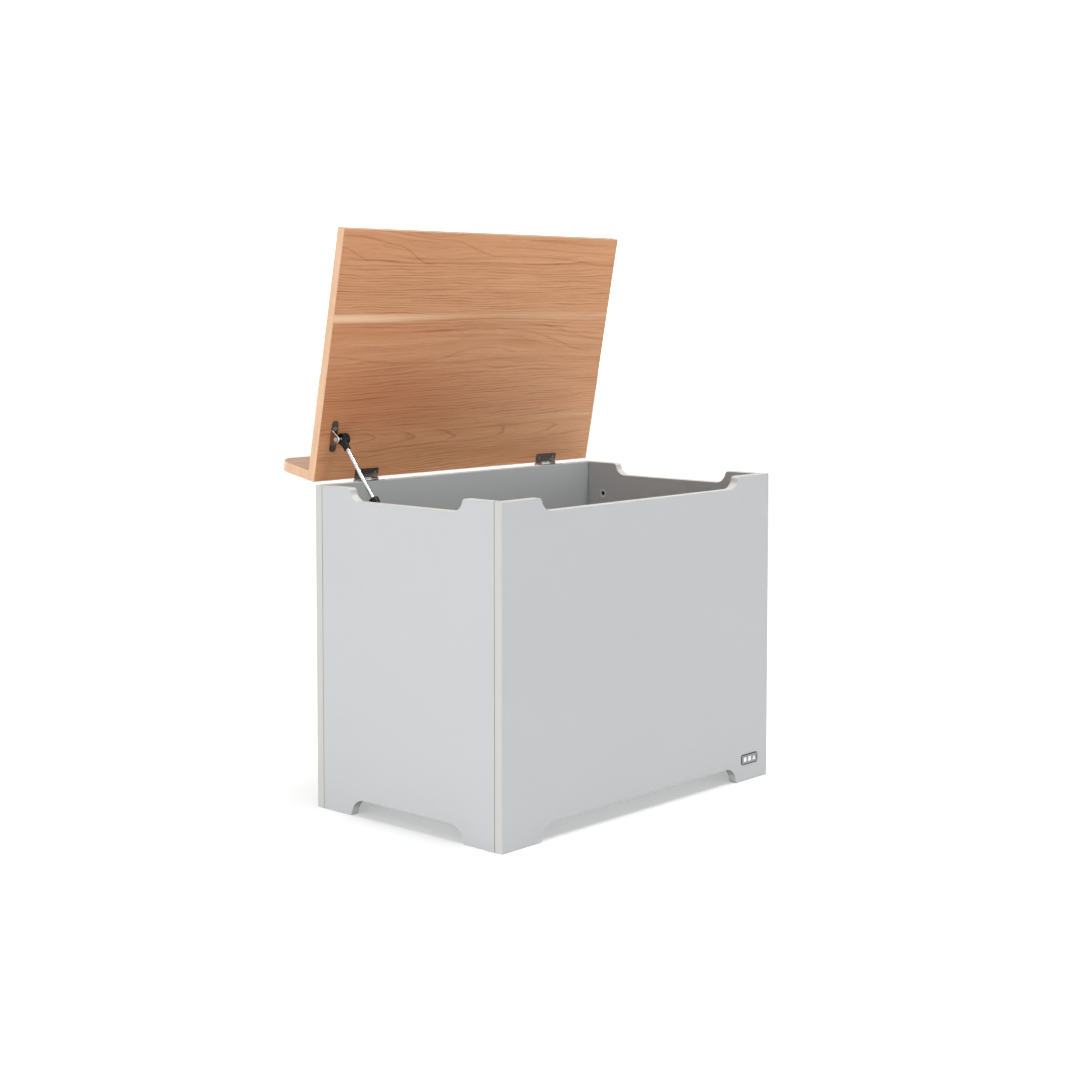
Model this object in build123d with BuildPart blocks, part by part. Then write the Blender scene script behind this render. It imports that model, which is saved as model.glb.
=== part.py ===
from build123d import *
from math import cos, radians, sin, sqrt
import os

os.makedirs("parts", exist_ok=True)

# A flat-pack toy box with a hinged lid, shown with the lid open. Sizes are in millimetres.
# +X is to the right, +Y to the back and +Z up. The box stands on z = 0. The origin is on the
# floor, in the middle of the whole outline with the lid open.

# ---- driving sizes -------------------------------------------------------------------------

box_w, box_d, box_h = 650, 400, 510
board = 15  # thickness of every board
front_wall = 239.5  # half width of the front and back cut-outs, between their upright ends
side_wall = 121  # the same on the side boards
hand_depth, shoulder_r = 20, 6  # hand notch in the top edge, and its rounded shoulders
foot_height, toe_r = 27, 5  # cut-out between the feet, and their rounded toes
board_round = 1  # round-over on the painted boards' edges
base_z = 40  # underside of the base board

lid_d = 400
upstand_h = 77
upstand_corner = 30
band = 1  # thickness of the edge band
lid_gap = 2  # between the shut lid and the box
lid_overhang = 1  # of the shut lid behind the back board
open_angle = 79.2

hinge_behind, hinge_above = 4, 1  # hinge axis, from the back board's top outer edge
hinge_x = 214.5
leaf_w, leaf_reach, leaf_t, leaf_corner = 50, 14.5, 0.9, 2
knuckle_r, pin_r = 2.75, 1.25
middle_knuckle = 19.6
leaf_screw_x = 18

strut_x = -288  # the strut moves in the plane of this X
strut_length, strut_angle = 245, 51.5  # between the ball centres, and below the horizontal
lid_ball_in, lid_ball_under = 70.5, 13  # upper ball, from the lid's rear edge and underside
bracket_in = 72  # middle of the lid bracket, from the lid's rear edge
bracket_t, bracket_w = 1.5, 12.5
ball_to_tab = 11.5  # from a ball's centre to the tab or crown behind it
ball_r, stud_r, collar_r = 4, 2.2, 4.5

cam_r, cam_depth, cam_set = 7.5, 12.5, 34
bolt_r, bolt_neck_r, bolt_thread_r = 3.9, 2.2, 2.5
dowel_r, dowel_length = 4, 30
into_face = 11  # how far bolts and dowels reach into the board they meet
cam_heights, dowel_heights = (100, 455), (150, 400)

badge_w, badge_h, badge_t = 44, 17, 1
badge_x, badge_z = 275, 36

fit = 0.05  # clearance all round a fastener, and round each sliding or turning shaft

# ---- places worked out from them -----------------------------------------------------------

lean = radians(open_angle)


def swung(back, up):
    """A point of the shut lid, measured from the hinge axis, once the lid is open."""
    return back * cos(lean) + up * sin(lean), up * cos(lean) - back * sin(lean)


corner_back, corner_up = swung(lid_overhang - hinge_behind, lid_gap - hinge_above)
rear_reach = hinge_behind + swung(
    lid_overhang - hinge_behind, lid_gap - hinge_above + board + upstand_h
)[0]

front_y = badge_t - (badge_t + box_d + rear_reach) / 2
back_y = front_y + box_d
mid_y = front_y + box_d / 2
hinge_y, hinge_z = back_y + hinge_behind, box_h + hinge_above

# The lid's own plane: X along its rear edge, Y towards its rear, Z out of its top face, with
# its origin in the middle of the underside's rear edge.
lid_frame = Plane(
    origin=(0, hinge_y + corner_back, hinge_z + corner_up),
    x_dir=(1, 0, 0),
    z_dir=(0, sin(lean), cos(lean)),
)

# The strut's plane: its origin is the upper ball's centre and its Z runs down the strut.
strut_down = Vector(0, -cos(radians(strut_angle)), -sin(radians(strut_angle)))
upper_ball = lid_frame.from_local_coords(Vector(strut_x, -lid_ball_in, -lid_ball_under))
lower_ball = upper_ball + strut_down * strut_length
strut_frame = Plane(origin=upper_ball, x_dir=(1, 0, 0), z_dir=strut_down)
lower_frame = Plane(origin=lower_ball, x_dir=(1, 0, 0), z_dir=-strut_down)
strut_axis = Axis(origin=upper_ball, direction=strut_down)

low = (Align.CENTER, Align.CENTER, Align.MIN)
high = (Align.CENTER, Align.CENTER, Align.MAX)
toward_left = (0, -90, 0)


def write(piece, name):
    """Labels a finished piece and writes it as its own STEP file."""
    piece.part.label = name
    export_step(piece.part, f"parts/{name}.step")


# ---- board joints --------------------------------------------------------------------------
# A joint is a plane on the edge of one board, at mid thickness. Its Z points into the face of
# the board that it meets, and its X points to the side where its cam lock is let in.


def flipped(joint):
    """The same joint, with its Z out of the face that it meets."""
    return Plane(origin=joint.origin, x_dir=joint.x_dir, z_dir=-joint.z_dir)


def cam_face(joint):
    """Where a joint's cam lock shows: Z out of the board, X along the bolt."""
    centre = joint.origin - joint.z_dir * cam_set + joint.x_dir * (board / 2)
    return Plane(origin=centre, x_dir=joint.z_dir, z_dir=joint.x_dir)


def side_joints(heights):
    return [
        Plane(
            origin=(side * (box_w - board) / 2, mid_y + end * (box_d / 2 - board), z),
            x_dir=(-side, 0, 0),
            z_dir=(0, end, 0),
        )
        for side in (-1, 1)
        for end in (-1, 1)
        for z in heights
    ]


def base_joints(along_x, along_y):
    """Joints of the base board: along_x lists them on its long edges, along_y on its ends."""
    mid_z = base_z + board / 2
    long_edges = [
        Plane(
            origin=(x, mid_y + end * (box_d / 2 - board), mid_z),
            x_dir=(0, 0, -1),
            z_dir=(0, end, 0),
        )
        for end in (-1, 1)
        for x in along_x
    ]
    ends = [
        Plane(
            origin=(side * (box_w / 2 - board), mid_y + y, mid_z),
            x_dir=(0, 0, -1),
            z_dir=(side, 0, 0),
        )
        for side in (-1, 1)
        for y in along_y
    ]
    return long_edges + ends


def upstand_joints(along_x):
    return [
        lid_frame.moved(
            Plane(origin=(x, -board / 2, board), x_dir=(0, 1, 0), z_dir=(0, 0, -1))
        )
        for x in along_x
    ]


side_cams, side_pegs = side_joints(cam_heights), side_joints(dowel_heights)
base_cams, base_pegs = base_joints((-180, 180), (-110, 110)), base_joints((-260, 0, 260), (0,))
upstand_cams, upstand_pegs = upstand_joints((-255, 0, 255)), upstand_joints((-290, -115, 115, 290))


def drill(planes, radius, depth):
    """Blind holes, each from its plane's origin against its Z."""
    with Locations(*planes):
        Cylinder(radius, depth, align=high, mode=Mode.SUBTRACT)


def drill_edges(cams, pegs):
    """Bores of the board that holds the cam locks and the longer ends of the dowels."""
    drill([cam_face(joint) for joint in cams], cam_r, cam_depth)
    drill(cams, bolt_r + fit, cam_set)
    drill(pegs, dowel_r, dowel_length - into_face + fit)


def drill_faces(cams, pegs):
    """Bores of the face that the bolts screw into and the dowels enter."""
    drill([flipped(joint) for joint in cams], bolt_thread_r, into_face + fit)
    drill([flipped(joint) for joint in pegs], dowel_r, into_face + fit)


def cam_locks(cams):
    """Round cam locks with a cross recess, hollowed where the bolt's head sits."""
    with Locations(*[cam_face(joint) for joint in cams]):
        Cylinder(cam_r - fit, cam_depth - fit, align=high)
        Cylinder(cam_r - 1.5, 0.5, align=high, mode=Mode.SUBTRACT)
        for turn in (45, 135):
            Box(8, 1.6, 2.5, rotation=(0, 0, turn), align=high, mode=Mode.SUBTRACT)
        with Locations((cam_r / 2, 0, -board / 2)):
            Box(cam_r + 7, 8, 8.2, mode=Mode.SUBTRACT)


def cam_bolts(cams):
    """Bolts with a collar at the joint, a thin neck and a head inside the cam lock."""
    with Locations(*cams):
        Cylinder(bolt_thread_r - fit, into_face, align=low)
        Cylinder(bolt_r, cam_set - 7.6, align=high)
        with Locations((0, 0, -cam_set + 7.6)):
            Cylinder(bolt_neck_r, 7, align=high)
        with Locations((0, 0, -cam_set + 2)):
            Cylinder(3.4, 4, align=high)


def dowels(pegs):
    """Grooveless beech dowels with eased ends."""
    with Locations(*[Plane(origin=j.origin + j.z_dir * into_face, z_dir=j.z_dir) for j in pegs]):
        Cylinder(dowel_r - fit, dowel_length, align=high)


# ---- screws --------------------------------------------------------------------------------
# A screw's place is a plane on the metal's outer face, with Z out of it.


def screws(places, head_r, shank_r, head_h, length):
    """Countersunk wood screws with a cross recess and a point."""
    point = 3
    with Locations(*places):
        Cone(shank_r, head_r, head_h, align=high)
        for turn in (0, 90):
            Box(head_r * 1.1, 0.5, 0.7, rotation=(0, 0, turn), align=high, mode=Mode.SUBTRACT)
        with Locations((0, 0, -head_h)):
            Cylinder(shank_r, length - head_h - point, align=high)
        with Locations((0, 0, -(length - point))):
            Cone(0.3, shank_r, point, align=high)


def countersinks(places, head_r, shank_r, head_h):
    """Seats for those screws, right through the metal."""
    with Locations(*places):
        Cone(shank_r + fit, head_r + fit, head_h, align=high, mode=Mode.SUBTRACT)


leaf_screw = dict(head_r=2.4, shank_r=1.5, head_h=leaf_t)
leaf_screw_length = 13
bracket_screw = dict(head_r=3.25, shank_r=1.75, head_h=bracket_t)
bracket_screw_length = 12.5

leaf_screw_spots = [
    (side * hinge_x + step * leaf_screw_x) for side in (-1, 1) for step in (-1, 1)
]
box_leaf_places = [
    Plane(origin=(x, back_y - board / 2, box_h + leaf_t), z_dir=(0, 0, 1))
    for x in leaf_screw_spots
]
lid_leaf_places = [
    lid_frame.moved(
        Plane(origin=(x, -(lid_overhang + board / 2), -leaf_t), z_dir=(0, 0, -1))
    )
    for x in leaf_screw_spots
]
bracket_x = strut_x - ball_to_tab - bracket_t + bracket_w / 2
lid_bracket_places = [
    lid_frame.moved(
        Plane(origin=(bracket_x, -bracket_in + step, -bracket_t), z_dir=(0, 0, -1))
    )
    for step in (-13, 13)
]
inner_left = -box_w / 2 + board
side_bracket_places = [
    Plane(
        origin=(inner_left + bracket_t, lower_ball.Y, lower_ball.Z + step),
        z_dir=(1, 0, 0),
    )
    for step in (-17, 17)
]

# ---- carcass boards ------------------------------------------------------------------------


def notch_end(inner, edge, into, cove, shoulder):
    """One end of a cut-out: a quarter-round cove, then a rounded shoulder onto the edge."""
    reach = sqrt((cove + shoulder) ** 2 - shoulder**2)
    share = cove / (cove + shoulder)
    meet = (inner + share * reach, edge + into * share * shoulder)
    TangentArc((inner, edge + into * cove), meet, tangent=(1, 0))
    TangentArc((inner + reach, edge), meet, tangent=(-1, 0))
    return inner + reach


def board_outline(width, wall, hand_notch=True):
    """An upright board's outline, cut away between its feet, with or without a hand notch."""
    half = width / 2
    with BuildSketch() as outline:
        with BuildLine():
            foot_inner = wall - foot_height
            Line((0, foot_height), (foot_inner, foot_height))
            toe = notch_end(foot_inner, 0, 1, foot_height, toe_r)
            Line((toe, 0), (half, 0))
            Line((half, 0), (half, box_h))
            if hand_notch:
                hand_inner = wall - hand_depth
                shoulder = notch_end(hand_inner, box_h, -1, hand_depth, shoulder_r)
                Line((half, box_h), (shoulder, box_h))
                Line((0, box_h - hand_depth), (hand_inner, box_h - hand_depth))
            else:
                Line((half, box_h), (0, box_h))
            mirror(about=Plane.YZ)
        make_face()
    return outline.sketch


def facing_front(y):
    """An upright plane across the box, with X to the right and Z to the front."""
    return Plane(origin=(0, y, 0), x_dir=(1, 0, 0), z_dir=(0, -1, 0))


def facing_right(x):
    """An upright plane along the box's side, with X to the back and Z to the right."""
    return Plane(origin=(x, mid_y, 0), x_dir=(0, 1, 0), z_dir=(1, 0, 0))


def on_side(joints, side):
    return [j for j in joints if j.origin.X * side > 0]


def on_end(joints, end):
    return [j for j in joints if (j.origin.Y - mid_y) * end > 0]


def along(joints, axis):
    """The joints that point along the given axis, either way."""
    return [j for j in joints if abs(j.z_dir.dot(axis.direction)) > 0.5]


with BuildPart() as front_panel:
    with BuildSketch(facing_front(front_y + board)):
        add(board_outline(box_w, front_wall))
    extrude(amount=board)
    fillet(front_panel.faces().filter_by(Axis.Y).edges(), board_round)
    drill_faces(on_end(side_cams, -1), on_end(side_pegs, -1))
    drill_faces(on_end(along(base_cams, Axis.Y), -1), on_end(along(base_pegs, Axis.Y), -1))
write(front_panel, "front_panel")

with BuildPart() as back_panel:
    with BuildSketch(facing_front(back_y)):
        add(board_outline(box_w, front_wall, hand_notch=False))
    extrude(amount=board)
    fillet(back_panel.faces().filter_by(Axis.Y).edges(), board_round)
    drill_faces(on_end(side_cams, 1), on_end(side_pegs, 1))
    drill_faces(on_end(along(base_cams, Axis.Y), 1), on_end(along(base_pegs, Axis.Y), 1))
    drill(box_leaf_places, leaf_screw["shank_r"] + fit, leaf_screw_length + fit)
write(back_panel, "back_panel")

with BuildPart() as left_side_panel:
    with BuildSketch(facing_right(-box_w / 2)):
        add(board_outline(box_d - 2 * board, side_wall))
    extrude(amount=board)
    fillet(left_side_panel.faces().filter_by(Axis.X).edges(), board_round)
    drill_edges(on_side(side_cams, -1), on_side(side_pegs, -1))
    drill_faces(on_side(along(base_cams, Axis.X), -1), on_side(along(base_pegs, Axis.X), -1))
    drill(side_bracket_places, bracket_screw["shank_r"] + fit, bracket_screw_length + fit)
write(left_side_panel, "left_side_panel")

with BuildPart() as right_side_panel:
    with BuildSketch(facing_right(box_w / 2 - board)):
        add(board_outline(box_d - 2 * board, side_wall))
    extrude(amount=board)
    fillet(right_side_panel.faces().filter_by(Axis.X).edges(), board_round)
    drill_edges(on_side(side_cams, 1), on_side(side_pegs, 1))
    drill_faces(on_side(along(base_cams, Axis.X), 1), on_side(along(base_pegs, Axis.X), 1))
write(right_side_panel, "right_side_panel")

with BuildPart() as base_panel:
    with Locations((0, mid_y, base_z)):
        Box(box_w - 2 * board, box_d - 2 * board, board, align=low)
    drill_edges(base_cams, base_pegs)
write(base_panel, "base_panel")

# ---- carcass fasteners ---------------------------------------------------------------------

with BuildPart() as side_cam_locks:
    cam_locks(side_cams)
write(side_cam_locks, "side_cam_locks")

with BuildPart() as side_cam_bolts:
    cam_bolts(side_cams)
write(side_cam_bolts, "side_cam_bolts")

with BuildPart() as side_dowels:
    dowels(side_pegs)
write(side_dowels, "side_dowels")

with BuildPart() as base_cam_locks:
    cam_locks(base_cams)
write(base_cam_locks, "base_cam_locks")

with BuildPart() as base_cam_bolts:
    cam_bolts(base_cams)
write(base_cam_bolts, "base_cam_bolts")

with BuildPart() as base_dowels:
    dowels(base_pegs)
write(base_dowels, "base_dowels")

# ---- badge ---------------------------------------------------------------------------------
# A plain rounded plate with a raised rim and three raised shapes: a disc, a square, a triangle.

badge_rim, badge_raise, mark, mark_step = 1.6, 0.4, 4.2, 12.5

with BuildPart() as badge:
    with BuildSketch(Plane(origin=(badge_x, front_y, badge_z), x_dir=(1, 0, 0), z_dir=(0, -1, 0))):
        RectangleRounded(badge_w, badge_h, 3.5)
    extrude(amount=badge_t - badge_raise)
    with BuildSketch(badge.faces().sort_by(Axis.Y)[0]):
        RectangleRounded(badge_w, badge_h, 3.5)
        RectangleRounded(badge_w - 2 * badge_rim, badge_h - 2 * badge_rim, 2.4, mode=Mode.SUBTRACT)
        with Locations((-mark_step, 0)):
            Circle(mark)
        Rectangle(1.8 * mark, 1.8 * mark)
        with Locations((mark_step, -mark * 0.2)):
            RegularPolygon(mark * 1.2, 3, rotation=90)
    extrude(amount=badge_raise)
write(badge, "badge")

# ---- hinges --------------------------------------------------------------------------------
# The box leaf carries the middle knuckle and the lid leaf the two outer ones. Both are drawn
# as in the shut hinge, on a plane whose origin is the axis, X along it and Z out of the leaf's
# wood, so the lid leaf is the same shape on the lid's plane, turned over.

outer_knuckle = (leaf_w - middle_knuckle) / 2 - 0.2
knuckle_step = middle_knuckle / 2 + 0.2 + outer_knuckle / 2


def hinge_leaf(frame, wood_to_axis, knuckles):
    """Leaf with knuckles given as (place along the axis, length)."""
    plate_front = -(hinge_behind + leaf_reach)
    plate_back = -knuckle_r - 0.25
    with Locations((0, (plate_front + plate_back) / 2, -wood_to_axis)):
        plate = Box(leaf_w, plate_back - plate_front, leaf_t, align=low)
    upright = Axis(origin=frame.origin, direction=frame.z_dir)
    to_knuckles = Axis(origin=frame.origin, direction=frame.y_dir)
    fillet(plate.edges().filter_by(upright).group_by(to_knuckles)[0], leaf_corner)
    for place, length in knuckles:
        with Locations((place, 0, -wood_to_axis)):
            Box(length, -plate_back, leaf_t, align=(Align.CENTER, Align.MAX, Align.MIN))
        with Locations((place, plate_back, -wood_to_axis)):
            Box(length, 1, leaf_t, align=low)
        with Locations((place, 0, 0)):
            Cylinder(knuckle_r, length, rotation=(0, 90, 0))
    Cylinder(pin_r + fit, leaf_w + 2, rotation=(0, 90, 0), mode=Mode.SUBTRACT)


box_knuckles = [(0, middle_knuckle)]
lid_knuckles = [(-knuckle_step, outer_knuckle), (knuckle_step, outer_knuckle)]
lid_axis_plane = lid_frame.moved(
    Plane(
        origin=(0, hinge_behind - lid_overhang, hinge_above - lid_gap),
        x_dir=(-1, 0, 0),
        z_dir=(0, 0, -1),
    )
)


def box_hinge_plane(x):
    return Plane(origin=(x, hinge_y, hinge_z), z_dir=(0, 0, 1))


def lid_hinge_plane(x):
    return Plane(
        origin=(x, hinge_y, hinge_z), x_dir=lid_axis_plane.x_dir, z_dir=lid_axis_plane.z_dir
    )


for side, x in (("left", -hinge_x), ("right", hinge_x)):
    with BuildPart(box_hinge_plane(x)) as box_hinge_leaf:
        hinge_leaf(box_hinge_plane(x), hinge_above, box_knuckles)
    with BuildPart() as box_hinge_leaf_drilled:
        add(box_hinge_leaf.part)
        countersinks([p for p in box_leaf_places if p.origin.X * x > 0], **leaf_screw)
    write(box_hinge_leaf_drilled, f"box_hinge_leaf_{side}")

    with BuildPart(lid_hinge_plane(x)) as lid_hinge_leaf:
        hinge_leaf(lid_hinge_plane(x), lid_gap - hinge_above, lid_knuckles)
    with BuildPart() as lid_hinge_leaf_drilled:
        add(lid_hinge_leaf.part)
        countersinks([p for p in lid_leaf_places if p.origin.X * x > 0], **leaf_screw)
    write(lid_hinge_leaf_drilled, f"lid_hinge_leaf_{side}")

    with BuildPart(box_hinge_plane(x)) as hinge_pin:
        Cylinder(pin_r, leaf_w + 1, rotation=(0, 90, 0))
        fillet(hinge_pin.edges().filter_by(GeomType.CIRCLE), 0.4)
    write(hinge_pin, f"hinge_pin_{side}")

with BuildPart() as box_hinge_screws:
    screws(box_leaf_places, length=leaf_screw_length, **leaf_screw)
write(box_hinge_screws, "box_hinge_screws")

with BuildPart() as lid_hinge_screws:
    screws(lid_leaf_places, length=leaf_screw_length, **leaf_screw)
write(lid_hinge_screws, "lid_hinge_screws")

# ---- lid -----------------------------------------------------------------------------------

with BuildPart(lid_frame) as lid_core:
    with Locations((0, -lid_d / 2, 0)):
        Box(box_w - 2 * band, lid_d - 2 * band, board, align=low)
with BuildPart() as lid_panel:
    add(lid_core.part)
    drill_faces(upstand_cams, upstand_pegs)
    drill(lid_leaf_places, leaf_screw["shank_r"] + fit, leaf_screw_length + fit)
    drill(lid_bracket_places, bracket_screw["shank_r"] + fit, bracket_screw_length + fit)
write(lid_panel, "lid_panel")

with BuildPart(lid_frame) as lid_edge_band:
    with Locations((0, -lid_d / 2, 0)):
        Box(box_w, lid_d, board, align=low)
    fillet(lid_edge_band.edges(), band * 0.6)
    with Locations((0, -lid_d / 2, 0)):
        Box(box_w - 2 * band, lid_d - 2 * band, board, align=low, mode=Mode.SUBTRACT)
write(lid_edge_band, "lid_edge_band")


def upstand_outline(inset):
    """The upstand seen from behind, standing on z = board, drawn inset from its outside."""
    height = upstand_h - inset
    with BuildSketch() as outline:
        with Locations((0, board + height / 2)):
            Rectangle(box_w - 2 * inset, height)
        top_corners = outline.vertices().group_by(Axis.Y)[-1]
        fillet(top_corners, upstand_corner - inset)
    return outline.sketch


upstand_back = lid_frame.moved(Plane.XZ)

with BuildPart() as lid_upstand:
    with BuildSketch(upstand_back):
        add(upstand_outline(band))
    extrude(amount=board)
    drill_edges(upstand_cams, upstand_pegs)
write(lid_upstand, "lid_upstand")

with BuildPart() as upstand_edge_band:
    with BuildSketch(upstand_back):
        add(upstand_outline(0))
        add(upstand_outline(band), mode=Mode.SUBTRACT)
    extrude(amount=board)
write(upstand_edge_band, "upstand_edge_band")

with BuildPart() as upstand_cam_locks:
    cam_locks(upstand_cams)
write(upstand_cam_locks, "upstand_cam_locks")

with BuildPart() as upstand_cam_bolts:
    cam_bolts(upstand_cams)
write(upstand_cam_bolts, "upstand_cam_bolts")

with BuildPart() as upstand_dowels:
    dowels(upstand_pegs)
write(upstand_dowels, "upstand_dowels")

# ---- strut brackets and ball studs ---------------------------------------------------------

tab_half, tab_nose = 12.5, 5.5
bracket_half = 25
stud_shank = ball_to_tab - ball_r * 0.8


def ball_stud(foot):
    """Ball at the origin on a shank towards -X, whose collar ends at the distance foot."""
    Sphere(ball_r)
    with Locations((-foot, 0, 0)):
        Cylinder(stud_r, foot - ball_r * 0.5, rotation=(0, 90, 0), align=low)
        Cylinder(collar_r, 2, rotation=(0, 90, 0), align=low)


lid_ball_plane = lid_frame.moved(Plane(origin=(strut_x, -lid_ball_in, -lid_ball_under)))

with BuildPart(lid_ball_plane) as lid_bracket_blank:
    with Locations((bracket_x - strut_x, lid_ball_in - bracket_in, lid_ball_under)):
        Box(bracket_w, 2 * bracket_half, bracket_t, align=high)
    upright = Axis(origin=upper_ball, direction=lid_ball_plane.z_dir)
    fillet(lid_bracket_blank.edges().filter_by(upright), 5)
    with BuildSketch(lid_ball_plane.moved(Plane.YZ.offset(-ball_to_tab - bracket_t))):
        with BuildLine():
            Line((-tab_half, lid_ball_under), (tab_half, lid_ball_under))
            CenterArc((0, 0), tab_nose, 180, 180)
        make_hull()
        Circle(stud_r + fit, mode=Mode.SUBTRACT)
    extrude(amount=bracket_t)
with BuildPart() as strut_lid_bracket:
    add(lid_bracket_blank.part)
    countersinks(lid_bracket_places, **bracket_screw)
write(strut_lid_bracket, "strut_lid_bracket")

with BuildPart(lid_ball_plane) as strut_upper_ball_stud:
    ball_stud(ball_to_tab)
    with Locations((-ball_to_tab, 0, 0)):
        Cylinder(stud_r, bracket_t + 1, rotation=toward_left, align=low)
    with Locations((-ball_to_tab - bracket_t, 0, 0)):
        Cylinder(3.2, 1.2, rotation=toward_left, align=low)
write(strut_upper_ball_stud, "strut_upper_ball_stud")

with BuildPart() as strut_lid_bracket_screws:
    screws(lid_bracket_places, length=bracket_screw_length, **bracket_screw)
write(strut_lid_bracket_screws, "strut_lid_bracket_screws")

crown_x = strut_x - ball_to_tab
crown_half, ear = 10, 15
leg = crown_x - inner_left

with BuildPart() as side_bracket_blank:
    with BuildSketch(Plane(origin=lower_ball, x_dir=(1, 0, 0), z_dir=(0, -1, 0))):
        with Locations((-ball_to_tab, 0)):
            Rectangle(bracket_t, 2 * crown_half, align=(Align.MAX, Align.CENTER))
            for end in (-1, 1):
                with Locations((0, end * crown_half)):
                    Rectangle(leg, bracket_t, align=(Align.MAX, Align.CENTER))
                with Locations((-leg, end * (crown_half + ear / 2))):
                    Rectangle(bracket_t, ear, align=(Align.MIN, Align.CENTER))
    extrude(amount=bracket_w / 2, both=True)
with BuildPart() as strut_side_bracket:
    add(side_bracket_blank.part)
    countersinks(side_bracket_places, **bracket_screw)
write(strut_side_bracket, "strut_side_bracket")

with BuildPart() as strut_side_bracket_screws:
    screws(side_bracket_places, length=bracket_screw_length, **bracket_screw)
write(strut_side_bracket_screws, "strut_side_bracket_screws")

# ---- gas strut -----------------------------------------------------------------------------
# Distances along the strut are measured from the upper ball's centre.

socket_r, socket_w, socket_neck = 9.3, 13.5, 20
socket_off = 3.25  # the head's middle, beyond the ball
neck_r, neck_lip = (6.8, 5), 3
rod_r, rod_start = 3, 9.5
cap_start, cap_r, cap_length = 114, 7.75, 8
tube_start, tube_r, tube_wall = 116, 7.1, 1
tube_end = strut_length - socket_neck
guide_start, guide_length = 117, 5
piston_start, piston_length = 122.2, 4


def ball_socket():
    """Plastic end fitting: the ball's centre at the origin, open towards -X, neck along +Z."""
    with Locations((socket_off, 0, 0)):
        head = Cylinder(socket_r, socket_w, rotation=(0, 90, 0))
    fillet(head.edges().filter_by(GeomType.CIRCLE), 2)
    with Locations((0, 0, 4)):
        Cone(neck_r[0], neck_r[1], socket_neck - 4 - neck_lip, align=low)
    with Locations((0, 0, socket_neck - neck_lip)):
        Cylinder(neck_r[1] + 0.4, neck_lip, align=low)
    Sphere(ball_r + 2 * fit, mode=Mode.SUBTRACT)
    with Locations((-socket_w, 0, 0)):
        Cylinder(3.1, socket_w, rotation=(0, 90, 0), align=low, mode=Mode.SUBTRACT)
    with Locations((0, 0, rod_start - fit)):
        Cylinder(rod_r + fit, socket_neck, align=low, mode=Mode.SUBTRACT)


with BuildPart(strut_frame) as strut_upper_socket:
    ball_socket()
write(strut_upper_socket, "strut_upper_socket")

with BuildPart(lower_frame) as strut_lower_socket:
    ball_socket()
write(strut_lower_socket, "strut_lower_socket")

with BuildPart(strut_frame) as strut_piston_rod:
    with Locations((0, 0, rod_start)):
        Cylinder(rod_r, piston_start + piston_length - rod_start, align=low)
write(strut_piston_rod, "strut_piston_rod")

with BuildPart(strut_frame) as strut_piston:
    with Locations((0, 0, piston_start)):
        Cylinder(tube_r - tube_wall - 2 * fit, piston_length, align=low)
        Cylinder(rod_r + fit, piston_length, align=low, mode=Mode.SUBTRACT)
write(strut_piston, "strut_piston")

with BuildPart(strut_frame) as strut_cylinder_tube:
    with Locations((0, 0, tube_start)):
        Cylinder(tube_r, tube_end - tube_start, align=low)
        Cylinder(tube_r - tube_wall, tube_end - tube_start - 2, align=low, mode=Mode.SUBTRACT)
    with Locations((0, 0, tube_end)):
        Cylinder(rod_r, 8 - fit, align=low)
write(strut_cylinder_tube, "strut_cylinder_tube")

with BuildPart(strut_frame) as strut_gland_cap:
    with Locations((0, 0, cap_start)):
        Cylinder(cap_r, cap_length, align=low)
        fillet(strut_gland_cap.edges().filter_by(GeomType.CIRCLE).sort_by(strut_axis)[0], 1)
        Cylinder(rod_r + 2 * fit, cap_length, align=low, mode=Mode.SUBTRACT)
    with Locations((0, 0, tube_start - fit)):
        Cylinder(tube_r + fit, cap_length, align=low, mode=Mode.SUBTRACT)
write(strut_gland_cap, "strut_gland_cap")

with BuildPart(strut_frame) as strut_rod_guide:
    with Locations((0, 0, guide_start)):
        Cylinder(tube_r - tube_wall - fit, guide_length, align=low)
        Cylinder(rod_r + fit, guide_length, align=low, mode=Mode.SUBTRACT)
write(strut_rod_guide, "strut_rod_guide")

stud_clearance = 0.3  # the lower stud stops this far in front of the side bracket's crown

with BuildPart(lower_frame) as strut_lower_ball_stud:
    ball_stud(ball_to_tab - stud_clearance)
write(strut_lower_ball_stud, "strut_lower_ball_stud")
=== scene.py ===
"""A pale grey toy box with a wood-effect lid: its materials, light and camera."""

import math

import bpy
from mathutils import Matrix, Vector


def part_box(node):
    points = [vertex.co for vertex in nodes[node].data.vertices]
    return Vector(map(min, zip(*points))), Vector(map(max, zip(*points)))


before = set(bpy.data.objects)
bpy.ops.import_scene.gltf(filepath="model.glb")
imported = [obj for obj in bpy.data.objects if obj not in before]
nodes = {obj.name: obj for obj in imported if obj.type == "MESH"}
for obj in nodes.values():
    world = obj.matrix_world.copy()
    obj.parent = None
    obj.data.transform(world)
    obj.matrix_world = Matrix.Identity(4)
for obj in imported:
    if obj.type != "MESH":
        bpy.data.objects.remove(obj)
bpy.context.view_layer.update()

MM = 0.001
OPEN_ANGLE = math.radians(79.2)  # of the lid at rest, from shut
BOARD = 15  # thickness of every board, in millimetres

# ---- places on the CAD pieces, in millimetres ------------------------------------------------


def corners(box):
    """A box's lowest and highest corner, in millimetres."""
    low, high = box
    return low / MM, high / MM


def between(low, high, axis):
    return (low[axis] + high[axis]) / 2


SIDE_BOARD = corners(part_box("left_side_panel"))
SIDE_INNER_FACE = -SIDE_BOARD[1].x  # from the middle of the box
SIDE_MIDDLE = between(*SIDE_BOARD, 1)
SIDE_HALF = (SIDE_BOARD[1].y - SIDE_BOARD[0].y) / 2
BOX_HALF = -SIDE_BOARD[0].x

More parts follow.
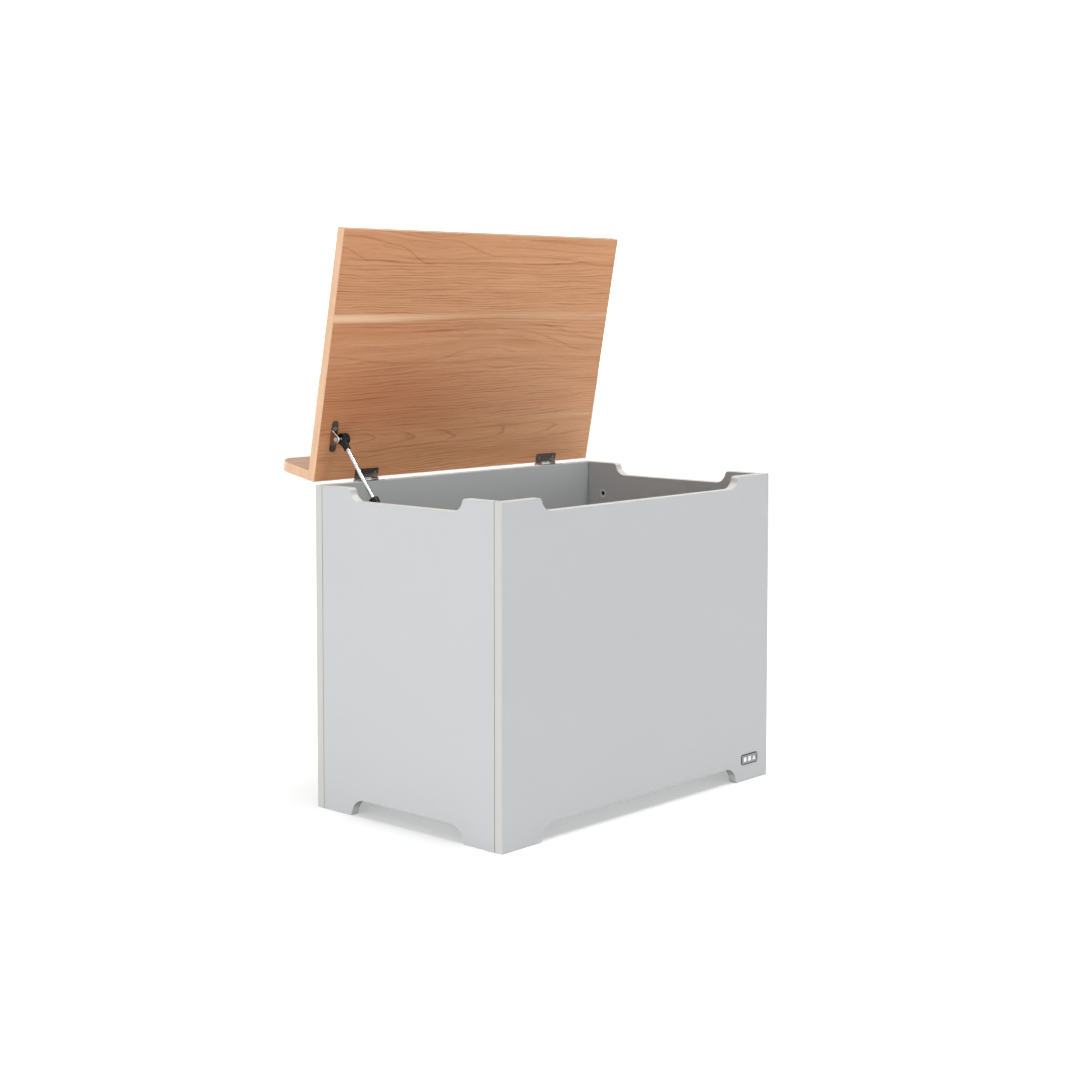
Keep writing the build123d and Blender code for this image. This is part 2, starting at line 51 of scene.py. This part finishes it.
CAMS = corners(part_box("side_cam_locks"))
CAM_RADIUS = 7.45
CAM_OFFSET = (CAMS[1].y - CAMS[0].y) / 2 - CAM_RADIUS  # of each cam from the board's middle
CAM_RISE = (CAMS[1].z - CAMS[0].z) / 2 - CAM_RADIUS  # of each cam from their middle height
CAM_MIDDLE = between(*CAMS, 2)

BADGE = corners(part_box("badge"))
BADGE_X, BADGE_Z = between(*BADGE, 0), between(*BADGE, 2)

HINGE_PIN = corners(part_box("hinge_pin_left"))
HINGE_MIDDLE = abs(between(*HINGE_PIN, 0))
HINGE_Y, HINGE_Z = between(*HINGE_PIN, 1), between(*HINGE_PIN, 2)

LID = corners(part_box("lid_edge_band"))
LID_Y, LID_Z = LID[1].y - BOARD * math.sin(OPEN_ANGLE), LID[0].z  # underside's rear edge

# ---- colours, as sRGB values from 0 to 255 ---------------------------------------------------

PAINT = (178, 180, 181)
PAINT_END = (184, 183, 180)
# Painted light on the paint's up-facing top edges, and painted shade on its down-facing edges
# over the feet:
PAINT_TOP_HIGHLIGHT = (214, 213, 210)
PAINT_FOOT_SHADE = (136, 136, 134)
SEAM = (70, 66, 60)
WOOD_LIGHT = (206, 152, 110)
WOOD_DARK = (144, 86, 52)
WOOD_PALE = (224, 188, 155)
WOOD_RED = (172, 98, 60)
BAND_LIGHT = (216, 178, 146)
BAND_DARK = (190, 146, 110)
BRACKET_STEEL = (160, 150, 138)
HINGE_STEEL = (156, 148, 141)
# The tab's uncoated cut edge, given as a near-white painted highlight:
BARE_EDGE_HIGHLIGHT = (252, 251, 248)
# A painted highlight on the hinges' middle knuckle:
KNUCKLE_HIGHLIGHT = (232, 230, 226)
PLATED_STEEL = (190, 192, 196)
# Plated steel made near-white, a painted highlight on the stud by the tab:
STUD_STEEL_HIGHLIGHT = (248, 247, 244)
CHROME = (226, 227, 229)
BADGE_RIM = (62, 65, 70)
BADGE_FIELD = (168, 170, 174)
BADGE_SHAPES = (228, 229, 231)
# The cams' rim is a painted highlight and their sunk face painted shade:
ZINC_RIM_HIGHLIGHT = (232, 232, 231)
ZINC_PAINTED_SHADE = (104, 105, 108)
BLACK = (8, 8, 9)


def linear(colour):
    """An sRGB colour from 0 to 255 as linear values for a shader socket."""
    parts = [c / 255 for c in colour]
    return [p / 12.92 if p < 0.04045 else ((p + 0.055) / 1.055) ** 2.4 for p in parts] + [1.0]


# ---- shader fields ---------------------------------------------------------------------------


class Field:
    """A number that varies over a surface. Arithmetic on it adds Math nodes to its material."""

    def __init__(self, tree, socket):
        self.tree, self.socket = tree, socket

    def math(self, operation, *others):
        node = self.tree.nodes.new("ShaderNodeMath")
        node.operation = operation
        for slot, value in zip(node.inputs, (self, *others)):
            if isinstance(value, Field):
                self.tree.links.new(value.socket, slot)
            else:
                slot.default_value = value
        return Field(self.tree, node.outputs[0])

    def __add__(self, other):
        return self.math("ADD", other)

    def __sub__(self, other):
        return self.math("SUBTRACT", other)

    def __mul__(self, other):
        return self.math("MULTIPLY", other)

    def __truediv__(self, other):
        return self.math("DIVIDE", other)

    __radd__, __rmul__ = __add__, __mul__

    def __rsub__(self, other):
        return (self * -1) + other

    def __abs__(self):
        return self.math("ABSOLUTE")

    def step(self, start, end):
        """Rises smoothly from 0 at start to 1 at end."""
        node = self.tree.nodes.new("ShaderNodeMapRange")
        node.interpolation_type = "SMOOTHSTEP"
        node.inputs["From Min"].default_value = start
        node.inputs["From Max"].default_value = end
        self.tree.links.new(self.socket, node.inputs["Value"])
        return Field(self.tree, node.outputs["Result"])

    def bell(self, centre, width):
        """1 at centre, falling to 0 either side as a bell curve."""
        offset = (self - centre) / width
        return (offset * offset * -1).math("EXPONENT")


# A Mix node has sockets for every data type, and these are the ones for colours.
COLOUR_INPUTS, COLOUR_OUTPUT = slice(6, 8), 2


class Finish:
    """A material built around one Principled shader."""

    def __init__(self, name, **values):
        self.material = bpy.data.materials.new(name)
        self.material.use_nodes = True
        self.tree = self.material.node_tree
        self.shader = self.tree.nodes["Principled BSDF"]
        for socket, value in values.items():
            self.shader.inputs[socket.replace("_", " ")].default_value = value

    def new(self, kind):
        return self.tree.nodes.new(kind)

    def axes(self):
        """The three coordinates of a point in the row frame at rest, in millimetres."""
        place = self.new("ShaderNodeTexCoord")
        split = self.new("ShaderNodeSeparateXYZ")
        self.tree.links.new(place.outputs["Object"], split.inputs[0])
        return [Field(self.tree, split.outputs[i]) / MM for i in range(3)]

    def facing(self, axis):
        """How squarely the surface faces along an axis, either way: 1 head on, 0 side on."""
        place = self.new("ShaderNodeTexCoord")
        split = self.new("ShaderNodeSeparateXYZ")
        self.tree.links.new(place.outputs["Normal"], split.inputs[0])
        return abs(Field(self.tree, split.outputs["XYZ".index(axis)]))

    def vector(self, *parts):
        join = self.new("ShaderNodeCombineXYZ")
        for slot, part in zip(join.inputs, parts):
            if isinstance(part, Field):
                self.tree.links.new(part.socket, slot)
            else:
                slot.default_value = part
        return join.outputs[0]

    def noise(self, vector, scale=1.0, detail=2.0, rough=0.5):
        """Noise from about -1 to 1 at a vector."""
        node = self.new("ShaderNodeTexNoise")
        node.inputs["Scale"].default_value = scale
        node.inputs["Detail"].default_value = detail
        node.inputs["Roughness"].default_value = rough
        self.tree.links.new(vector, node.inputs["Vector"])
        return (Field(self.tree, node.outputs["Fac"]) - 0.5) * 2

    def mix(self, share, first, second):
        """A colour between two colours, each a socket or an sRGB triple. The share of the second
        is a field or a number."""
        node = self.new("ShaderNodeMix")
        node.data_type = "RGBA"
        node.clamp_factor = True
        if isinstance(share, Field):
            self.tree.links.new(share.socket, node.inputs["Factor"])
        else:
            node.inputs["Factor"].default_value = share
        for slot, colour in zip(node.inputs[COLOUR_INPUTS], (first, second)):
            if isinstance(colour, tuple):
                slot.default_value = linear(colour)
            else:
                self.tree.links.new(colour, slot)
        return node.outputs[COLOUR_OUTPUT]

    def length(self, vector):
        node = self.new("ShaderNodeVectorMath")
        node.operation = "LENGTH"
        self.tree.links.new(vector, node.inputs[0])
        return Field(self.tree, node.outputs["Value"])

    def brighten(self, colour, amount):
        """A colour times a field."""
        node = self.new("ShaderNodeVectorMath")
        node.operation = "SCALE"
        self.tree.links.new(colour, node.inputs[0])
        self.tree.links.new(amount.socket, node.inputs["Scale"])
        return node.outputs[0]

    def link(self, source, socket):
        """Drives one of the shader's sockets with a field or a colour."""
        source = source.socket if isinstance(source, Field) else source
        self.tree.links.new(source, self.shader.inputs[socket])

    def colour(self):
        """What the shader's colour is linked to so far."""
        return self.shader.inputs["Base Color"].links[0].from_socket

    def bump(self, height, depth, strength=1.0):
        """Raises the surface by height times depth, in metres."""
        node = self.new("ShaderNodeBump")
        node.inputs["Strength"].default_value = strength
        node.inputs["Distance"].default_value = depth
        self.tree.links.new(height.socket, node.inputs["Height"])
        self.tree.links.new(node.outputs[0], self.shader.inputs["Normal"])


def wear(*names, finish):
    """Gives CAD nodes a finish."""
    for name in names:
        slots = nodes[name].data.materials
        slots.clear()
        slots.append(finish.material)


# ---- painted board ---------------------------------------------------------------------------

PAINT_WAVE = 130  # size of the paint's slow variation
PEEL = 1.6  # size of its orange peel
ROUND_OVER = 1  # of the painted boards' edges
# Between these heights the up- and down-facing edges turn from painted shade over the feet to
# painted light along the top.
FOOT_EDGES, TOP_EDGES = 60, 90  # edges turn from the foot's colour to the top's between these


def painted_board(name, face_axis):
    """Satin grey paint on the broad faces of a board, edge bands round it with painted light on
    the edges facing up along the top and painted shade on those facing down over the feet, and a
    dark seam where the front and back boards meet the side boards."""
    paint = Finish(name, IOR=1.46)
    x, y, z = paint.axes()
    cloudy = paint.noise(paint.vector(x, y, z), scale=1 / PAINT_WAVE, detail=3)
    peel = paint.noise(paint.vector(x, y, z), scale=1 / PEEL, detail=2, rough=0.6)
    face = paint.facing(face_axis).step(0.55, 0.9)
    # Edges facing up or down: painted shade low over the feet, painted light along the top.
    level = paint.mix(z.step(FOOT_EDGES, TOP_EDGES), PAINT_FOOT_SHADE, PAINT_TOP_HIGHLIGHT)
    band_and_painted_light = paint.mix(paint.facing("Z").step(0.35, 0.7), PAINT_END, level)
    colour = paint.mix(face, band_and_painted_light, PAINT)
    from_middle = abs(y - SIDE_MIDDLE)
    if face_axis == "X":
        seam = from_middle.step(SIDE_HALF - 0.7, SIDE_HALF - 0.1)
    else:
        rounding = abs(x).step(BOX_HALF - ROUND_OVER - 0.1, BOX_HALF - 0.4)
        seam = from_middle.step(SIDE_HALF + 0.7, SIDE_HALF + 0.1) * rounding
    colour = paint.mix(seam, colour, SEAM)
    paint.link(paint.brighten(colour, 1 + cloudy * 0.015 + peel * 0.005), "Base Color")
    paint.link(0.58 - face * 0.15 + cloudy * 0.05 + peel * 0.03, "Roughness")
    paint.bump(peel, 0.025 * MM, 0.4)
    return paint


# ---- wood effect -----------------------------------------------------------------------------

# The decor is laid out in millimetres, along the lid from its middle and across it from its rear
# edge. Its close grain runs along the lid and is bent here: (shift, along, across, half length,
# half width).
GRAIN_BENDS = (
    (10, -130, 372, 90, 26),
    (-9, 20, 205, 150, 34),
    (-6, 290, 330, 160, 60),
    (7, 300, 225, 120, 30),
    (5, -230, 30, 90, 22),
    (-6, 120, 22, 120, 20),
)
# It opens out into wide plain figure: (across, half width, how plain).
GRAIN_OPENINGS = ((378, 28, 0.93), (207, 34, 0.88), (62, 17, 0.9))
# Single dark lines cross the plain figure: (across at its left end, its rises as (rise, from,
# to), left end, right end, strength).
GRAIN_LINES = (
    (398, ((-11, -260, -92), (-24, -92, 25), (-13, 150, 325)), -300, 325, 0.44),
    (388, ((-13, -300, -190), (-27, -205, -135)), -322, -128, 0.48),
    (369, ((-19, -322, -262),), -330, -258, 0.4),
    (379, ((-8, 40, 325),), 20, 330, 0.4),
    (393, ((-9, 60, 330),), 40, 330, 0.35),
    (354, ((-6, -330, -150), (5, 0, 200)), -330, 330, 0.4),
    (198, ((-12, -325, -180), (22, -112, 5), (-9, 45, 110)), -325, 98, 0.4),
    (178, ((6, -325, -100), (5, -80, 60), (-6, 100, 330)), -325, 330, 0.4),
    (238, ((5, -120, 10), (-6, 20, 110), (-38, 95, 300)), -125, 290, 0.4),
    (243, ((6, -120, 20), (-30, 120, 330)), -60, 330, 0.35),
    (222, ((7, -100, 20), (-24, 60, 230)), -40, 215, 0.3),
)
RING = 4.3  # spacing of the close grain
LID_DEPTH = 400


def grain_line(along, across, level, rises, left, right, strength):
    """How dark one line of the figure is at a point."""
    for rise, start, end in rises:
        level = along.step(start, end) * rise + level
    here = across - level
    shade = here.step(-1.6, 0.0) * (1 - here.step(0.0, 4.5))
    ends = along.step(left - 12, left + 12) * (1 - along.step(right - 12, right + 12))
    return shade * ends * strength


def wood_figure(wood, along, across):
    """Colour and height of the decor at two coordinates in millimetres."""
    slow = wood.noise(wood.vector(along / 230, across / 60, 0.0), detail=2)
    quick = wood.noise(wood.vector(along / 48, across / 8, 3.0), detail=2)
    sway = wood.noise(wood.vector(along / 105, across / 20, 6.0), detail=2)
    wander = slow * 4 + quick * 1.1
    moved = across + wander + slow * 3 + sway * 3.6 - along * 0.022 * across.bell(125, 70)
    for shift, place, level, length, width in GRAIN_BENDS:
        moved = moved + along.bell(place, length) * across.bell(level, width) * shift
    rings = moved / RING
    plain = 0
    for level, width, share in GRAIN_OPENINGS:
        rings = rings - ((moved - level) / width).math("TANH") * (width * share / RING)
        plain = across.bell(level, width) + plain
    ring = rings.math("FRACT")
    strength = wood.noise(wood.vector(along / 120, rings * 0.8, 7.0), detail=2).step(-0.3, 0.45)
    dark = ring.step(0.25, 0.9) * (1 - ring.step(0.9, 1.0)) * (0.2 + strength * 0.8)
    dark = dark * (1 - plain * 0.65)
    for line in GRAIN_LINES:
        dark = dark + grain_line(along, across + wander * 0.6, *line)
    arch = ((across - 62 + sway * 5) / 13).math("POWER", 2) * 0.75
    tip = ((along + slow * 90 + sway * 60) / 112 + arch).math("FRACT")
    dark = dark + tip.step(0.78, 0.95) * (1 - tip.step(0.95, 1.0)) * across.bell(62, 14) * 0.72

    streaks = wood.noise(wood.vector(along / 150, moved / 2.3, 4.0), detail=2, rough=0.6)
    fibre = wood.noise(wood.vector(along / 24, moved / 0.8, 1.0), detail=3, rough=0.65)
    tone = wood.noise(wood.vector(along / 300, across / 24, 5.0), detail=2)
    pores = wood.noise(wood.vector(along / 6, moved / 0.6, 9.0), detail=1).step(0.25, 0.6)
    pores = pores * (1 - plain * 0.6)

    share = 0.25 + dark * 0.52 + streaks * 0.36 + fibre * 0.34 + tone * 0.16 + pores * 0.26
    share = share - along * 0.00022 + along.bell(-210, 240) * across.bell(120, 60) * 0.16
    share = share - across.step(230, 20) * (0.1 + along.step(0, 330) * 0.06)
    colour = wood.mix(share, WOOD_LIGHT, WOOD_DARK)
    red = along.bell(-210, 240) * across.bell(130, 60)
    red = red + along.bell(-240, 170) * across.bell(237, 12)
    colour = wood.mix(red * 0.36, colour, WOOD_RED)
    taper = along.step(-260, 60)
    streak = ((across + wander * 0.4 - 259 - taper * 6) / (6.2 - taper * 3)).math("POWER", 4)
    streak = (streak * -1).math("EXPONENT") * (0.85 - along.step(-330, 60) * 0.72)
    streak = streak + (across + wander * 0.3).bell(84, 2.6) * along.step(30, 300) * 0.4
    streak = streak + across.bell(262, 9) * along.step(-60, 120) * 0.16
    colour = wood.mix(streak, colour, WOOD_PALE)
    flecks = wood.noise(wood.vector(along / 7, moved / 0.75, 12.0), detail=1).step(0.25, 0.65)
    colour = wood.mix(flecks * 0.26, colour, WOOD_PALE)
    height = 0 - dark * 0.5 - pores * 0.8 + fibre * 0.25
    return colour, height


def lid_axes(wood):
    """Coordinates on the lid in millimetres: along its rear edge, across it, and above its
    underside."""
    x, y, z = wood.axes()
    back, up = y - LID_Y, z - LID_Z
    across = up * math.sin(OPEN_ANGLE) - back * math.cos(OPEN_ANGLE)
    above = back * math.sin(OPEN_ANGLE) + up * math.cos(OPEN_ANGLE)
    return x, across, above


def wood_effect(name, standing=False):
    """The lid's decor. A standing board shows it along and up, and the lid along and across."""
    wood = Finish(name, Roughness=0.4, IOR=1.47, Specular_IOR_Level=0.3)
    along, across, above = lid_axes(wood)
    if standing:
        figure = along * -1 + 40, above * 1.6 + 150
    else:
        outer = above.step(BOARD / 2 - 0.5, BOARD / 2 + 0.5)
        figure = along - outer * (along * 2 + 90), across + outer * (LID_DEPTH - across * 2)
    colour, height = wood_figure(wood, *figure)
    # A standing board's decor is mixed half into the pale tone, painted light for the light
    # falling on the upstand's upper face.
    if standing:
        colour = wood.mix(0.5, colour, WOOD_PALE)
    wood.link(colour, "Base Color")
    wood.link((0.22 if standing else 0.42) - height * 0.05, "Roughness")
    wood.bump(height, 0.05 * MM, 0.6)
    return wood


def edging(name):
    """Wood-effect edge band, paler than the faces, with its grain along the edge."""
    band = Finish(name, Roughness=0.38, IOR=1.47)
    along, across, above = lid_axes(band)
    length = along + across
    grain = band.noise(band.vector(length / 45, above / 1.1, across / 60), detail=3, rough=0.6)
    tone = band.noise(band.vector(length / 120, above / 9, 2.0), detail=1)
    band.link(band.mix(0.4 + grain * 0.3 + tone * 0.35, BAND_LIGHT, BAND_DARK), "Base Color")
    band.bump(grain, 0.03 * MM, 0.5)
    return band


# ---- metal and plastic -----------------------------------------------------------------------


def metal(name, colour, rough, grain=0.06, speckle=0.0, dents=0.02):
    """Metal whose colour, gloss and surface vary a little, as plated and pressed parts do."""
    steel = Finish(name, Metallic=1.0)
    x, y, z = steel.axes()
    here = steel.vector(x, y, z)
    mottle = steel.noise(here, scale=1 / 3.5, detail=3)
    fine = steel.noise(here, scale=1 / 0.4, detail=2, rough=0.65)
    dim = tuple(round(c * 0.72) for c in colour)
    steel.link(steel.mix(0.25 + mottle * 0.4 + fine * speckle, colour, dim), "Base Color")
    steel.link(rough + mottle * grain + fine * grain, "Roughness")
    steel.bump(fine * 0.15 + mottle * 0.85, dents * MM, 0.5)
    return steel


def bracket_metal():
    """Bronzed steel whose tab shows its uncoated cut edge, painted near-white and barely metallic
    as a painted highlight along it.
    """
    steel = metal("dark_bracket_steel", BRACKET_STEEL, 0.24, speckle=0.25, dents=0.1)
    along, across, above = lid_axes(steel)
    # The tab's uncoated cut edge, painted near-white as a painted highlight.
    bare = (1 - steel.facing("X").step(0.3, 0.6)) * above.step(-1.7, -1.9)
    steel.link(steel.mix(bare, steel.colour(), BARE_EDGE_HIGHLIGHT), "Base Color")
    steel.link(1 - bare * 0.85, "Metallic")
    return steel


def hinge_metal():
    """Bronzed steel with a painted highlight, paler and less metallic, round the middle knuckle.
    """
    steel = metal("bronzed_steel", HINGE_STEEL, 0.2, speckle=0.25, dents=0.2)
    x, y, z = steel.axes()
    from_axis = steel.length(steel.vector(0.0, y - HINGE_Y, z - HINGE_Z))
    # A painted highlight along the middle knuckle.
    knuckle_highlight = from_axis.step(3.5, 3.0) * abs(abs(x) - HINGE_MIDDLE).step(11, 10)
    steel.link(steel.mix(knuckle_highlight * 0.8, steel.colour(), KNUCKLE_HIGHLIGHT), "Base Color")
    steel.link(1 - knuckle_highlight * 0.3, "Metallic")
    return steel


def badge_metal():
    """Dark plate whose raised shapes are bare and pale, inside a dark rim."""
    plate = metal("badge_plate", BADGE_RIM, 0.36)
    x, y, z = plate.axes()
    rise = (y - BADGE[0].y).step(0.25, 0.15)
    inside = abs(x - BADGE_X).step(20.6, 20.2) * abs(z - BADGE_Z).step(7.1, 6.7)
    field = plate.mix(inside * 0.65, plate.colour(), BADGE_FIELD)
    plate.link(plate.mix(rise * inside, field, BADGE_SHAPES), "Base Color")
    plate.link(1 - inside * 0.6, "Metallic")
    return plate


def cam_zinc():
    """Zinc casting with a painted highlight, pale and barely metallic, on its rim, painted shade
    on its sunk face and painted black shadow in the socket.
    """
    cast = metal("zinc_casting_painted_light", ZINC_RIM_HIGHLIGHT, 0.45, speckle=0.5)
    x, y, z = cast.axes()
    # By depth, the sunk face gets painted shade and the socket in it a painted black shadow.
    sunk = abs(x) - SIDE_INNER_FACE
    face = sunk.step(0.2, 0.45)
    off_y = abs(abs(y - SIDE_MIDDLE) - CAM_OFFSET)
    off_z = abs(abs(z - CAM_MIDDLE) - CAM_RISE)
    socket = cast.length(cast.vector(0.0, off_y, off_z)).step(3.8, 3.0)
    face_painted_shade = cast.mix(face * 0.25, cast.colour(), ZINC_PAINTED_SHADE)
    cast.link(cast.mix(face * socket, face_painted_shade, BLACK), "Base Color")
    # Low metallic keeps the rim pale, as a painted highlight.
    cast.link(0.25 + sunk.step(0.2, 1.0) * 0.1, "Metallic")
    return cast


def plastic(name, colour, rough):
    """Moulded plastic with a fine spark-eroded texture."""
    moulded = Finish(name, IOR=1.5, Specular_IOR_Level=0.3)
    x, y, z = moulded.axes()
    here = moulded.vector(x, y, z)
    cloud = moulded.noise(here, scale=1 / 12, detail=2)
    grit = moulded.noise(here, scale=1 / 0.35, detail=2, rough=0.6)
    lighter = tuple(c + 12 for c in colour)
    moulded.link(moulded.mix(0.35 + cloud * 0.3 + grit * 0.3, colour, lighter), "Base Color")
    moulded.link(rough + grit * 0.07 + cloud * 0.05, "Roughness")
    moulded.bump(grit, 0.03 * MM, 0.5)
    return moulded


wear("front_panel", "back_panel", finish=painted_board("paint_facing_front", "Y"))
wear("left_side_panel", "right_side_panel", finish=painted_board("paint_facing_side", "X"))
wear("base_panel", finish=painted_board("paint_facing_up", "Z"))
wear("lid_panel", finish=wood_effect("wood_effect_lid"))
wear("lid_upstand", finish=wood_effect("wood_effect_upstand", standing=True))
wear("lid_edge_band", "upstand_edge_band", finish=edging("wood_edge_band"))

bronze = hinge_metal()
cams = cam_zinc()
side_bracket = metal("dark_side_bracket_steel", BRACKET_STEEL, 0.24, speckle=0.25, dents=0.1)
plated = metal("zinc_plated_steel", PLATED_STEEL, 0.28)
# The ball studs' steel is made near-white, so the stud by the tab shows a painted highlight.
bright = metal("stud_steel_painted_highlight", STUD_STEEL_HIGHLIGHT, 0.42)
chrome = metal("chromed_rod", CHROME, 0.16, grain=0.03)
chrome.shader.inputs["Specular Tint"].default_value = (0.05, 0.05, 0.05, 1.0)
black_plastic = plastic("black_moulded_plastic", BLACK, 0.34)
black_paint = plastic("black_tube_paint", BLACK, 0.24)
beech = wood_effect("beech_dowels", standing=True)

wear(
    "box_hinge_leaf_left", "box_hinge_leaf_right", "lid_hinge_leaf_left", "lid_hinge_leaf_right",
    "hinge_pin_left", "hinge_pin_right", finish=bronze,
)
wear("strut_side_bracket", finish=side_bracket)
wear("strut_lid_bracket", finish=bracket_metal())
wear("side_cam_locks", "base_cam_locks", "upstand_cam_locks", finish=cams)
wear(
    "side_cam_bolts", "base_cam_bolts", "upstand_cam_bolts", "box_hinge_screws",
    "lid_hinge_screws", "strut_side_bracket_screws", "strut_lid_bracket_screws", finish=plated,
)
wear("strut_upper_ball_stud", "strut_lower_ball_stud", finish=bright)
wear("strut_piston_rod", finish=chrome)
wear(
    "strut_upper_socket", "strut_lower_socket", "strut_gland_cap", "strut_rod_guide",
    "strut_piston", finish=black_plastic,
)
wear("strut_cylinder_tube", finish=black_paint)
wear("badge", finish=badge_metal())
wear("side_dowels", "base_dowels", "upstand_dowels", finish=beech)

# ---- floor, light and camera -----------------------------------------------------------------


FLOOR_HALF = 15.0
WHITE = (1, 1, 1, 1)  # as linear values


def stage_floor():
    """A wide white floor that gives off a little light of its own, as a lit table does."""
    mesh = bpy.data.meshes.new("floor")
    ends = (-FLOOR_HALF, FLOOR_HALF)
    mesh.from_pydata([(x, y, 0) for y in ends for x in ends], [], [(0, 1, 3, 2)])
    floor = bpy.data.objects.new("floor", mesh)
    bpy.context.scene.collection.objects.link(floor)
    table = Finish("lit_table", Roughness=0.9, Base_Color=(0.9, 0.9, 0.9, 1),
                   Emission_Color=WHITE, Emission_Strength=0.27)
    mesh.materials.append(table.material)


def softbox(name, place, aim, size, power, mirrored=True):
    """An area light at a place, turned to an aim. Unless mirrored, gloss does not show it."""
    light = bpy.data.lights.new(name, "AREA")
    light.shape = "RECTANGLE"
    light.size, light.size_y = size
    light.energy = power
    lamp = bpy.data.objects.new(name, light)
    bpy.context.scene.collection.objects.link(lamp)
    lamp.visible_glossy = mirrored
    lamp.location = place
    lamp.rotation_euler = (Vector(aim) - Vector(place)).to_track_quat("-Z", "Y").to_euler()


def studio():
    """A white surround: a bright horizon, brighter still behind, light from the front, and a
    roof light. Three softboxes light the left side, the whole and the strut's rod."""
    world = bpy.data.worlds.new("studio")
    world.use_nodes = True
    tree = world.node_tree
    place = tree.nodes.new("ShaderNodeTexCoord")
    split = tree.nodes.new("ShaderNodeSeparateXYZ")
    tree.links.new(place.outputs["Generated"], split.inputs[0])
    front, up = Field(tree, split.outputs[1]) * -1, Field(tree, split.outputs[2])
    horizon = 1 - up.step(0.16, 0.34)
    upper = up.step(0.5, 0.7)
    roof = up.step(0.92, 0.98)
    middle = 1 - horizon - upper
    glow = horizon * 1.02 + middle * 0.4 + (upper - roof) * 0.2 + roof * 5.0
    glow = glow + front.step(0.5, 0.85) * (horizon * 0.5 + middle * 0.44)
    glow = glow + (front * -1).step(0.35, 0.6) * horizon
    background = tree.nodes["Background"]
    background.inputs["Color"].default_value = WHITE
    tree.links.new(glow.socket, background.inputs["Strength"])
    bpy.context.scene.world = world
    bpy.context.scene.view_settings.view_transform = "Standard"
    softbox("left_strip", (-2.5, -0.05, 0.25), (0, -0.05, 0.25), (1.8, 0.4), 15.5, mirrored=False)
    softbox("key", (0.55, -1.5, 3.2), (-0.1, 0.0, 0.6), (0.7, 0.7), 31)
    softbox("rod_glint", (-2.5, -0.65, 2.35), (-0.29, 0.06, 0.5), (1.3, 0.7), 9)


def photo_camera():
    """The camera, at the viewing angle of the picture the box was made from."""
    camera = bpy.data.objects.new("camera", bpy.data.cameras.new("camera"))
    bpy.context.scene.collection.objects.link(camera)
    camera.location = (-2.3081, -2.1209, 0.7862)
    camera.rotation_euler = (math.radians(90 - 3.692), 0, math.radians(-47.765))
    camera.data.lens = 64.21
    camera.data.sensor_width = 36
    camera.data.shift_y = -0.1
    bpy.context.scene.camera = camera


stage_floor()
studio()
photo_camera()
